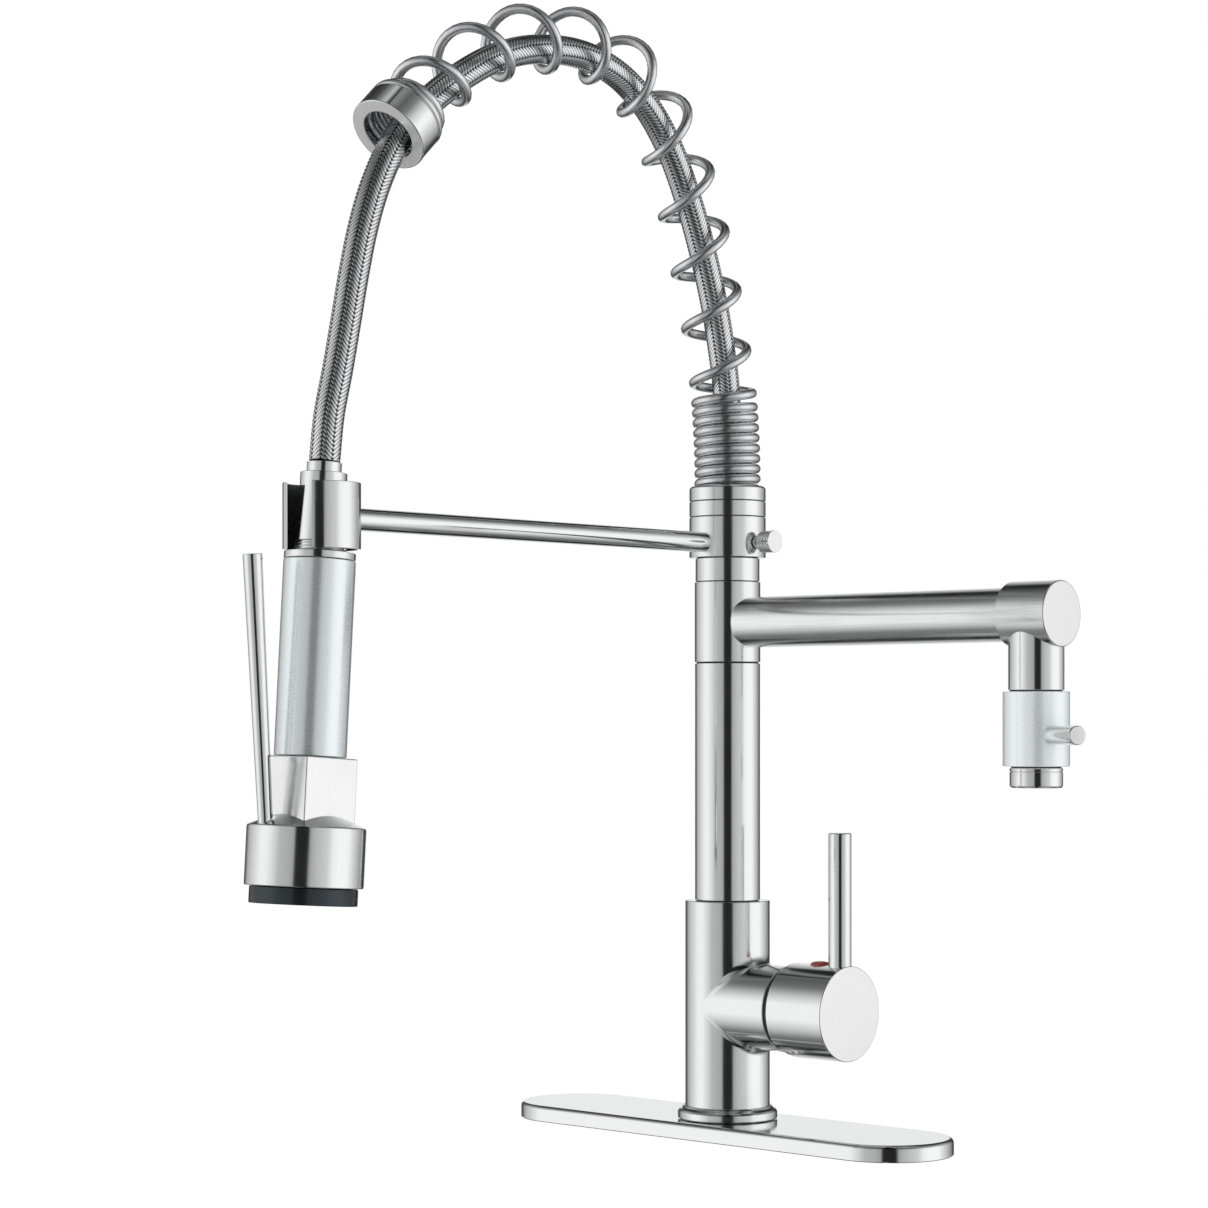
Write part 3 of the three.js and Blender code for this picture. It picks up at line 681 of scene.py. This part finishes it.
def deck_pieces():
    low, high = span("deck_plate")
    length, width, top = high.x - low.x + 1, high.y - low.y, high.z
    angles = [math.radians(degrees) for degrees in range(0, 91, 15)]
    edge = [(PLATE_EDGE * (1 - math.cos(a)), top - PLATE_EDGE * (1 - math.sin(a))) for a in angles]
    solid = stadium(length, width, [(0.4, 0.02), (0, 0.4), *edge])
    plate_finish = brushed("plate nickel", NICKEL, 0.1, X_GRAIN, 0.1, 0.02)
    piece("plate", "deck_plate", "root", solid, look=plate_finish)
    foot, _ = heights("base_flange")
    bore = BODY_RADIUS + 0.3
    outline = [
        (bore, foot), (24.2, foot), (24.5, foot + 0.5), (24.5, foot + 3.4), (23.6, foot + 4.6),
        (22.2, foot + 5.3), (21.6, foot + 6.3), (bore, foot + 6.3),
    ]
    piece("flange", "base_flange", "root", lathe(outline, 0.5))


def body_solid(sides=96):
    """The mixer column and its sleeve, which meet in a fillet that fades out at the two sides."""
    low, high = heights("mixer_body")
    radius, rim = BODY_RADIUS, 0.5
    quarter = sides // 4
    turns = [math.pi * k / (2 * quarter) - math.pi / 2 for k in range(2 * quarter + 1)]
    up_edge = [(rim * (1 - math.cos(a)), rim * (1 - math.sin(a))) for a in np.linspace(math.pi / 2, 0, 5)]

    def fillet(turn, way):
        return (FILLET_ABOVE if way > 0 else FILLET_BELOW) * abs(math.cos(turn)) ** 0.9

    def column_end(turn, height, way):
        rows = []
        for inset, drop in up_edge[::-1]:
            r = radius - inset
            rows.append((r * math.cos(turn), r * math.sin(turn), height - way * drop))
        return rows + [(BODY_BORE * math.cos(turn), BODY_BORE * math.sin(turn), height)]

    solids = []
    for way, end in ((1, high), (-1, low)):
        rows = []
        for turn in turns:
            start = MIXER_HEIGHT + way * (radius * math.cos(turn) + fillet(turn, way))
            x, y = radius * math.cos(turn), radius * math.sin(turn)
            sides_up = [(x, y, lerp(start, end - way * rim, k / 6)) for k in range(6)]
            rows.append(sides_up + column_end(turn, end, way))
        solids.append(grid(rows, False))
    rows = []
    for turn in turns:
        x, y = -radius * math.cos(turn), radius * math.sin(turn)
        bottom = [(-p[0], p[1], p[2]) for p in column_end(turn, low, -1)][::-1]
        middle = [(x, y, lerp(low + rim, high - rim, k / 8)) for k in range(1, 8)]
        rows.append(bottom + middle + [(-p[0], p[1], p[2]) for p in column_end(turn, high, 1)])
    solids.append(grid(rows, False))
    for way in (1, -1):
        rows = []
        for turn in turns:
            y, z = radius * math.sin(turn), radius * math.cos(turn)
            across, size = radius * math.cos(turn), fillet(turn, way)
            row = []
            for k in range(9):
                a = math.pi / 2 * (1 - k / 8)
                x, rise = across + size * (1 - math.sin(a)), size * (1 - math.cos(a))
                row.append((x, y, MIXER_HEIGHT + way * (z + rise)))
            start = across + size
            for k in range(1, 6):
                row.append((lerp(start, SLEEVE_END - rim, k / 5), y, MIXER_HEIGHT + way * z))
            for inset, drop in up_edge[::-1][1:]:
                share = (radius - inset) / radius
                row.append((SLEEVE_END - drop, y * share, MIXER_HEIGHT + way * z * share))
            mouth = [(SLEEVE_BORE + rim, SLEEVE_END), (SLEEVE_BORE, SLEEVE_END - rim), (SLEEVE_BORE, 20)]
            for bore, x in mouth:
                row.append((x, y * bore / radius, MIXER_HEIGHT + way * z * bore / radius))
            rows.append(row)
        solids.append(grid(rows, False))
    return merged(*solids)


def knob_relief(made):
    """Cuts the underside of the knob's rim back along a sloping plane, and closes the cut."""
    bm = bmesh.new()
    bm.from_mesh(made.data)
    x, z = RELIEF_START
    start = Vector((x, 0, MIXER_HEIGHT + z)) * MM
    run, rise = RELIEF_SLOPE
    normal = Vector((rise, 0, -run)).normalized()
    cut = bmesh.ops.bisect_plane(
        bm, geom=[*bm.verts, *bm.edges, *bm.faces], plane_co=start, plane_no=normal, clear_outer=True,
    )
    edges = [e for e in cut["geom_cut"] if isinstance(e, bmesh.types.BMEdge)]
    bmesh.ops.triangle_fill(bm, edges=edges, use_beauty=True)
    bm.to_mesh(made.data)
    bm.free()


def mixer_pieces():
    piece("mixer", "mixer_body", "root", body_solid())
    low, _ = span("bonnet")
    dome = [
        (17.4, 0), (17.4, 0.6), (19.2, 0.6), (19.2, 1.2), (16, 5), (11.8, 8.3), (11.2, 7.4), (15, 4.4),
        (16.3, 0),
    ]
    piece("bonnet_dome", "bonnet", "root", lathe([(r, h + low.x) for r, h in dome], 0.3), MIXER)
    seal = build("knob_seal", lathe(pipe(20, 16, SLEEVE_END - 0.2, SLEEVE_END + 3.4), 0.3, 80), MIXER)
    shade(seal)
    dress(seal, FINISHES["rubber"])
    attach(seal, "root")


def handle_pieces():
    low, high = span("handle_knob")
    start, end, radius = low.x + 0.7, high.x, high.y
    inside, bottom = radius - 1.3, start + 11
    shell = [(0, end), (radius, end), (radius, start), (inside, start), (inside, bottom), (0, bottom)]
    knob = piece("knob", "handle_knob", "handle", lathe(shell, 0.55, 128), MIXER, change=knob_relief)
    faced(knob, END_GRAIN, faces_right)
    low, high = span("handle_lever")
    centre = (low.x + high.x) / 2
    piece("lever", "handle_lever", "handle", lathe(bar(high.y, low.z, high.z), 0.9, 64, 6), at(centre))
    low, high = span("index_dot")
    top = high.z + 0.7
    crown = [(0, low.z), (4.7, low.z), (4.7, top - 1.5), (3.8, top - 0.6), (2, top - 0.1), (0, top)]
    piece("dot", "index_dot", "handle", lathe(crown, 0.5, 48), at((low.x + high.x) / 2))


# ---- column and spout ----


def column_pieces():
    stack = [("column", "column_tube", 16, 12.4), ("spacer", "column_spacer", 15.75, 11.3)]
    for name, node, radius, bore in stack:
        low, high = heights(node)
        if node == "column_tube":
            low = heights("mixer_body")[1] + 0.3
        piece(name, node, "root", lathe(pipe(radius, bore, low, high)))


def spout_pieces():
    low, high = heights("spout_tee")
    piece("tee", "spout_tee", "spout", lathe(pipe(16.15, 12.6, low, high)))
    end_low, end_high = span("spout_end_block")
    arm = pipe(12.3, 10.3, 12.8, end_low.x + 4)
    piece("arm_tube", "spout_arm", "spout", lathe(arm), SPOUT)
    block = bar(15, end_low.x, end_high.x)
    arm_end = piece("arm_end", "spout_end_block", "spout", lathe(block, 0.7, 112), SPOUT)
    faced(arm_end, END_GRAIN, faces_right)


def outlet_pieces():
    low, high = heights("spout_down_pipe")
    piece("down_pipe", "spout_down_pipe", "spout", lathe(pipe(12.6, 10.6, low, high + 3)), OUTLET)
    low, high = heights("valve_sleeve")
    grip = lathe(pipe(15.1, 10.2, low, high), 0.5)
    piece("valve_grip", "valve_sleeve", "spout_valve", grip, OUTLET, look=PALE_PAINT)
    low, high = heights("aerator_housing")
    housing = [
        (8.6, low), (11.3, low), (12, low + 0.9), (12, high - 2.1), (11.7, high - 2), (11.7, high - 1.7),
        (12, high - 1.6), (12, high - 0.4), (11.6, high), (9.4, high), (9.4, low + 2.6), (8.6, low + 2.4),
    ]
    piece("aerator", "aerator_housing", "spout", lathe(housing, 0.2), OUTLET)
    low, high = heights("valve_pin")
    turn = Matrix.Rotation(math.radians(-26), 4, "Z")
    place = OUTLET @ at(z=(low + high) / 2) @ turn @ ALONG_X
    piece("shut_off_pin", "valve_pin", "spout_valve", lathe(bar(4.3, 11, 37), 0.6, 56), place)


# ---- spray arm ----


def knurled(neck, radius, low, high, sides=144, steps=64):
    """A short bar that flares from its neck, with a diamond knurl on its side."""
    ridges, pitch, depth = 18, 1.5, 0.6
    rows = []
    for i in range(steps + 1):
        z = lerp(low, high - 0.4, i / steps)
        size = lerp(neck, radius, float(smoothstep(z, low + 0.5, low + 4)))
        row = []
        for k in range(sides):
            turn = k / sides * ridges
            lift = (z - low) / pitch
            ridge = min(abs((turn + lift) % 1 - 0.5), abs((turn - lift) % 1 - 0.5)) * 2
            fade = min(1, i / 4, (steps - i) / 4)
            r = size - depth * max(0, 0.75 - ridge) * fade
            angle = 2 * math.pi * k / sides
            row.append((r * math.cos(angle), r * math.sin(angle), z))
        rows.append(row)
    for inset, height in ((0.12, high - 0.1), (0.4, high)):
        share = (radius - inset) / radius
        rows.append([(x * share, y * share, height) for x, y, _ in rows[steps]])
    return capped(rows)


def ring_solid():
    """The open holder ring: a soft-edged wall swept round from one side of its slot to the other."""
    low, high = heights("holder_ring")
    inside, outside = 15.2, 16.8
    turn, half_opening = 4, 30
    start = math.radians(turn + half_opening - 90)
    end = math.radians(turn - half_opening + 270)
    wall = softened(pipe(outside, inside, low, high), 0.35, 3, True)
    rows = []
    for i in range(97):
        angle = lerp(start, end, i / 96)
        rows.append([(r * math.cos(angle), r * math.sin(angle), h) for r, h in wall])
    return capped(rows)


def arm_pieces():
    low, high = heights("arm_collar")
    piece("collar", "arm_collar", "spray_arm", lathe(pipe(18.8, 13.6, low, high)))
    low, high = heights("arm_band")
    piece("band", "arm_band", "spray_arm", lathe(pipe(18.8, 14, low, high)))
    low, high = heights("spring_cup")
    cup = [
        (8, low), (18.8, low), (18.8, high - 1.2), (18.1, high - 0.3), (17.4, high), (16.9, high),
        (16.9, high - 4.8), (11.2, high - 4.8), (11.2, high), (8, high),
    ]
    piece("cup", "spring_cup", "spray_arm", lathe(cup, 0.4))
    reach = -JOINTS["spray_head_turn"]["pos_m"][1] / MM
    rod = lathe(bar(5, 16, reach - 15.8), 0.4, 64)
    piece("dock_rod", "holder_rod", "spray_arm", rod, at(z=ROD_HEIGHT) @ TO_FRONT)
    ring = piece("dock_ring", "holder_ring", "spray_arm", ring_solid(), at(y=-reach))
    axis = Vector((0, -reach, 0)) * MM

    def faces_inwards(polygon):
        outwards = (polygon.center - axis).to_2d().normalized()
        return polygon.normal.to_2d().dot(outwards) < -0.8

    # The ring's inward faces are painted near black: painted shade inside the ring.
    faced(ring, RING_INSIDE_PAINTED_SHADE, faces_inwards)
    low, high = span("thumb_screw")
    shank = lathe(bar(2.5, low.x + 2, 23), 0.2, 32)
    screw = merged(shank, knurled(3.4, 5.4, 19.2, high.x))
    piece("knurled_screw", "thumb_screw", "thumb_screw", screw, at(z=ROD_HEIGHT) @ ALONG_X)


def seam_shade_rings():
    """Thin dark rubber rings in the seams, each on top of a node and on that node's body. They are painted shade:
    they stand for the shade in the gaps between the pieces.
    """
    thin, thick = 0.35, 0.65
    stack = [
        ("mixer_body", "root", 15.2, thin, UPRIGHT), ("column_tube", "root", 15.2, thick, UPRIGHT),
        ("spout_tee", "spout", 14.9, thin, UPRIGHT), ("column_spacer", "root", 14.9, thin, UPRIGHT),
        ("arm_collar", "spray_arm", 18, thin, UPRIGHT), ("arm_band", "spray_arm", 18, thin, UPRIGHT),
        ("valve_sleeve", "spout_valve", 11.8, thick, OUTLET),
        ("aerator_housing", "spout", 11.3, thick, OUTLET),
    ]
    for node, body, radius, gap, place in stack:
        top = heights(node)[1]
        outline = pipe(radius, radius - 2, top - 0.05, top + gap)
        made = build(node + "_washer", lathe(outline, 0.1, 64, 2), place)
        shade(made)
        # Dark rubber here stands for the shade in the seam: painted shade.
        dress(made, FINISHES["rubber"])
        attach(made, body)


# ---- hose end and spray head: heights are along the head's axis, from the dock ----


def nut_solid():
    radius, inside, bore, length = 18.2, 16.7, 12.2, NUT["length"]
    outline = [
        (bore, 0), (radius - 0.3, 0), (radius, -0.4), (radius, 5 - length), (radius - 0.5, 4.7 - length),
        (inside, 4.7 - length), (inside, -3.2), (bore, -2.6),
    ]
    return lathe(outline, 0.3, 96, 3)


def hose_end_pieces():
    ferrule = [(4, 12), (6, 12), (6, 19), (7.5, 19), (7.5, 23.4), (4, 23.4)]
    piece("ferrule", "hose_ferrule", "hose_end", lathe(ferrule, 0.25, 72), HEAD)
    turn = Matrix.Rotation(math.pi / 2 - NUT["slope"], 4, "X")
    place = at(*nut_front()) @ turn
    nut = piece("coil_nut", "spring_end_nut", "hose_end", nut_solid(), place)
    front = Vector(nut_axis())
    faced(nut, END_GRAIN, lambda polygon: polygon.normal.dot(front) > 0.99)
    radius, centre = 15.8, WIRE - NUT["length"]
    angles = np.linspace(0, 2 * math.pi, 17)[:-1]
    section = [(WIRE * math.cos(a) + radius, WIRE * math.sin(a) + centre) for a in angles]
    last_turn = build("last_turn", lathe(section, 0.01, 96, 1), place)
    shade(last_turn)
    dress(last_turn, FINISHES["spring_steel"])
    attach(last_turn, "hose_end")


def neck_outline():
    """The neck's outline, with its thread at the foot."""
    outline = [(6.4, 18.9), (10.1, 18.9), (10.1, 12), (10.9, -10.6)]
    for k in range(3):
        crest = -11.1 - 1.25 * k
        outline += [(10.1, crest), (10.1, crest - 0.4), (11, crest - 0.6), (11, crest - 0.95)]
    return outline + [(10.2, -15), (6.4, -15)]


HEAD_BORE, GRIP_TOP, GRIP_FOOT = 9.3, -18.7, -102.5
BLOCK_WIDTH, BLOCK_FOOT, BLOCK_TURN = 29, -134, math.radians(6)
BELL_RADIUS, BELL_FOOT = 25.5, -158
SHOULDER_RADIUS, SHOULDER_FOOT, SHOULDER_TOP = 12.8, -132.4, -126.75
PIVOT_OUT, PIVOT_HEIGHT = 21, -133.8
LEVER_TOP_OUT, LEVER_TOP = 34.6, -19.2
COIL_SEAT, PLUNGER_COIL_FOOT, PLUNGER_COIL_TOP = -135.1, -134.6, -117.64


def lever_hole(made):
    drilled(made, lathe(bar(4.1, -140, -120), 0.05, 48), HEAD @ at(y=-PIVOT_OUT))


def nozzle_solids():
    plate = lathe([(0, -161), (19.7, -161), (19.7, -164.3), (0, -164.3)], 0.4, 72)
    nubs = []
    for ring, count in ((5, 6), (10, 12), (15, 18)):
        for k in range(count):
            place = Matrix.Rotation(2 * math.pi * k / count, 4, "Z") @ at(ring)
            nub = [(0, -163), (1.25, -163), (0.95, -165.2), (0.5, -165.3), (0.45, -164.6), (0, -164.6)]
            nubs.append(moved(lathe(nub, 0.1, 14, 2), place))
    return merged(plate, *nubs)


def grip_pieces():
    piece("neck", "dock_neck", "spray_head", lathe(neck_outline(), 0.3, 96, 3), HEAD)
    collar = pipe(15.4, HEAD_BORE, GRIP_TOP + 0.3, -15.3)
    piece("neck_collar", "grip_collar", "spray_head", lathe(collar), HEAD)
    grip = pipe(15.5, HEAD_BORE, GRIP_FOOT, GRIP_TOP)
    piece("grip", "spray_grip", "spray_head", lathe(grip, 0.45), HEAD)


def block_piece():
    place = HEAD @ Matrix.Rotation(BLOCK_TURN, 4, "Z")
    solid = prism(BLOCK_WIDTH, BLOCK_FOOT, GRIP_FOOT - 0.3)
    block = piece("block", "head_block", "spray_head", solid, place, soften=0.7)
    up = (place.to_3x3() @ Vector((0, 0, 1))).normalized()
    across = (place.to_3x3() @ Vector((1, 0, 0))).normalized()
    axes = (up, across, up.cross(across))
    faced(block, BLOCK_FINISH, lambda polygon: max(abs(polygon.normal.dot(axis)) for axis in axes) > 0.999)


def nozzle_pieces():
    bell = [
        (0, BELL_FOOT), (BELL_RADIUS, BELL_FOOT), (BELL_RADIUS, SHOULDER_FOOT),
        (SHOULDER_RADIUS, SHOULDER_TOP), (0, SHOULDER_TOP),
    ]
    piece("bell", "head_bell", "spray_head", lathe(bell, 0.7, 128), HEAD, change=lever_hole)
    rim = [(20, -165.5), (23.2, -165.5), (23.2, -158.2), (20, -158.2)]
    piece("nozzle_rim", "nozzle_ring", "spray_head", lathe(rim, 0.6), HEAD)
    piece("nozzles", "spray_face", "spray_head", nozzle_solids(), HEAD)


def plunger_coil(turns=4, steps=16, radius=4):
    """A fine coil, the plunger's spring, with a mesh of its own."""
    line = []
    for k in range(steps * turns + 1):
        angle = 2 * math.pi * k / steps
        height = lerp(PLUNGER_COIL_FOOT, PLUNGER_COIL_TOP, k / steps / turns)
        line.append((radius * math.cos(angle), radius * math.sin(angle), height))
    coil = piece("plunger_coil", "plunger_spring", "spray_head", swept(line, 0.5, 10), HEAD)
    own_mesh(coil)


def squeeze_lever():
    out, up = LEVER_TOP_OUT - PIVOT_OUT, LEVER_TOP - PIVOT_HEIGHT
    length = math.hypot(out, up)
    rod = lathe([(0, 0.5), (3.15, 0.5), (4.15, length), (0, length)], 0.35, 64)
    pin = moved(lathe(bar(1.6, -6, 6), 0.2, 24), ALONG_X)
    lean = HEAD @ at(0, -PIVOT_OUT, PIVOT_HEIGHT) @ Matrix.Rotation(math.atan2(out, up), 4, "X")
    piece("squeeze_lever", "spray_lever", "spray_lever", merged(rod, pin), lean)


deck_pieces()
mixer_pieces()
handle_pieces()
column_pieces()
spout_pieces()
outlet_pieces()
arm_pieces()
seam_shade_rings()
hose_end_pieces()
grip_pieces()
block_piece()
nozzle_pieces()
plunger_coil()
squeeze_lever()

# The other nodes that show keep their own shape.
for node, shown in frame["nodes"].items():
    if not shown.hide_render:
        shown.data.materials.clear()
        shown.data.materials.append(FINISHES[SLOTS[node]])

# ---- studio ----

# Brightness of the studio by the angle from the camera, to its right: two soft boxes, a dark gap between
# them behind the camera, dark edges past them, and a bright wall at the back.
STUDIO = [
    (-180, 0.86), (-173, 0.84), (-168, 0.06), (-150, 0.1), (-134, 0.46), (-106, 0.74), (-89, 0.95),
    (-74, 0.93), (-58, 0.72), (-46, 0.5), (-24, 0.42), (-17, 0.36), (-14, 0.02), (10, 0.015), (14, 0.37),
    (22, 0.47), (36, 0.57), (48, 0.64), (60, 0.92), (74, 1), (94, 0.99), (106, 0.76), (124, 0.48),
    (142, 0.22), (150, 0.05), (167, 0.05), (172, 0.84), (180, 0.86),
]
# The same by height above the horizon, in degrees: the boxes end, and the ceiling is dim.
CEILING = [
    (-90, 0.5), (-60, 0.34), (-46, 0.22), (-36, 0.55), (-14, 1), (14, 1), (28, 0.66), (44, 0.22),
    (60, 0.16), (78, 0.5), (90, 0.7),
]


def ramp(tree, value, stops, low, high):
    """A brightness ramp of (angle, brightness) stops."""
    place = tree.nodes.new("ShaderNodeMapRange")
    place.inputs["From Min"].default_value = math.radians(low)
    place.inputs["From Max"].default_value = math.radians(high)
    tree.links.new(value, place.inputs["Value"])
    node = tree.nodes.new("ShaderNodeValToRGB")
    elements = node.color_ramp.elements
    for k, (angle, light) in enumerate(stops):
        position = (angle - low) / (high - low)
        element = elements[k] if k < 2 else elements.new(position)
        element.position = position
        element.color = (light, light, light, 1)
    tree.links.new(place.outputs["Result"], node.inputs["Fac"])
    return node.outputs["Color"]


def calculation(tree, operation, *values):
    node = tree.nodes.new("ShaderNodeMath")
    node.operation = operation
    for socket, value in zip(node.inputs, values):
        tree.links.new(value, socket)
    return node.outputs["Value"]


def dot(tree, direction, axis):
    node = tree.nodes.new("ShaderNodeVectorMath")
    node.operation = "DOT_PRODUCT"
    node.inputs[1].default_value = axis
    tree.links.new(direction, node.inputs[0])
    return node.outputs["Value"]


def make_world():
    world = bpy.data.worlds.new("studio")
    bpy.context.scene.world = world
    world.use_nodes = True
    tree = world.node_tree
    direction = tree.nodes.new("ShaderNodeTexCoord").outputs["Generated"]
    right, back = dot(tree, direction, VIEW_RIGHT), dot(tree, direction, VIEW_BACK)
    azimuth = calculation(tree, "ARCTAN2", right, back)
    height = calculation(tree, "ARCSINE", dot(tree, direction, (0, 0, 1)))
    across = ramp(tree, azimuth, STUDIO, -180, 180)
    above = ramp(tree, height, CEILING, -90, 90)
    both = tree.nodes.new("ShaderNodeMix")
    both.data_type = "RGBA"
    both.blend_type = "MULTIPLY"
    both.inputs["Factor"].default_value = 1
    tree.links.new(across, both.inputs["A"])
    tree.links.new(above, both.inputs["B"])
    seen = tree.nodes.new("ShaderNodeMix")
    seen.data_type = "RGBA"
    seen.inputs["B"].default_value = (1, 1, 1, 1)
    rays = tree.nodes.new("ShaderNodeLightPath").outputs
    white = calculation(tree, "MAXIMUM", rays["Is Camera Ray"], rays["Is Diffuse Ray"])
    tree.links.new(white, seen.inputs["Factor"])
    tree.links.new(both.outputs["Result"], seen.inputs["A"])
    tree.links.new(seen.outputs["Result"], tree.nodes["Background"].inputs["Color"])


def make_floor():
    """A white floor that hides what is under the deck. Reflections see the studio through it."""
    bpy.ops.mesh.primitive_circle_add(vertices=96, radius=6, fill_type="NGON", location=(0, 0, -0.0002))
    floor = bpy.context.object
    floor.name = "floor"
    material = bpy.data.materials.new("floor")
    material.use_nodes = True
    tree = material.node_tree
    tree.nodes.remove(tree.nodes["Principled BSDF"])
    mixed = tree.nodes.new("ShaderNodeMixShader")
    tree.links.new(tree.nodes.new("ShaderNodeLightPath").outputs["Is Camera Ray"], mixed.inputs["Fac"])
    clear = tree.nodes.new("ShaderNodeBsdfTransparent")
    tree.links.new(clear.outputs["BSDF"], mixed.inputs[1])
    tree.links.new(tree.nodes.new("ShaderNodeEmission").outputs["Emission"], mixed.inputs[2])
    tree.links.new(mixed.outputs["Shader"], tree.nodes["Material Output"].inputs["Surface"])
    floor.data.materials.append(material)


make_world()
make_floor()
bpy.context.scene.view_settings.view_transform = "Standard"
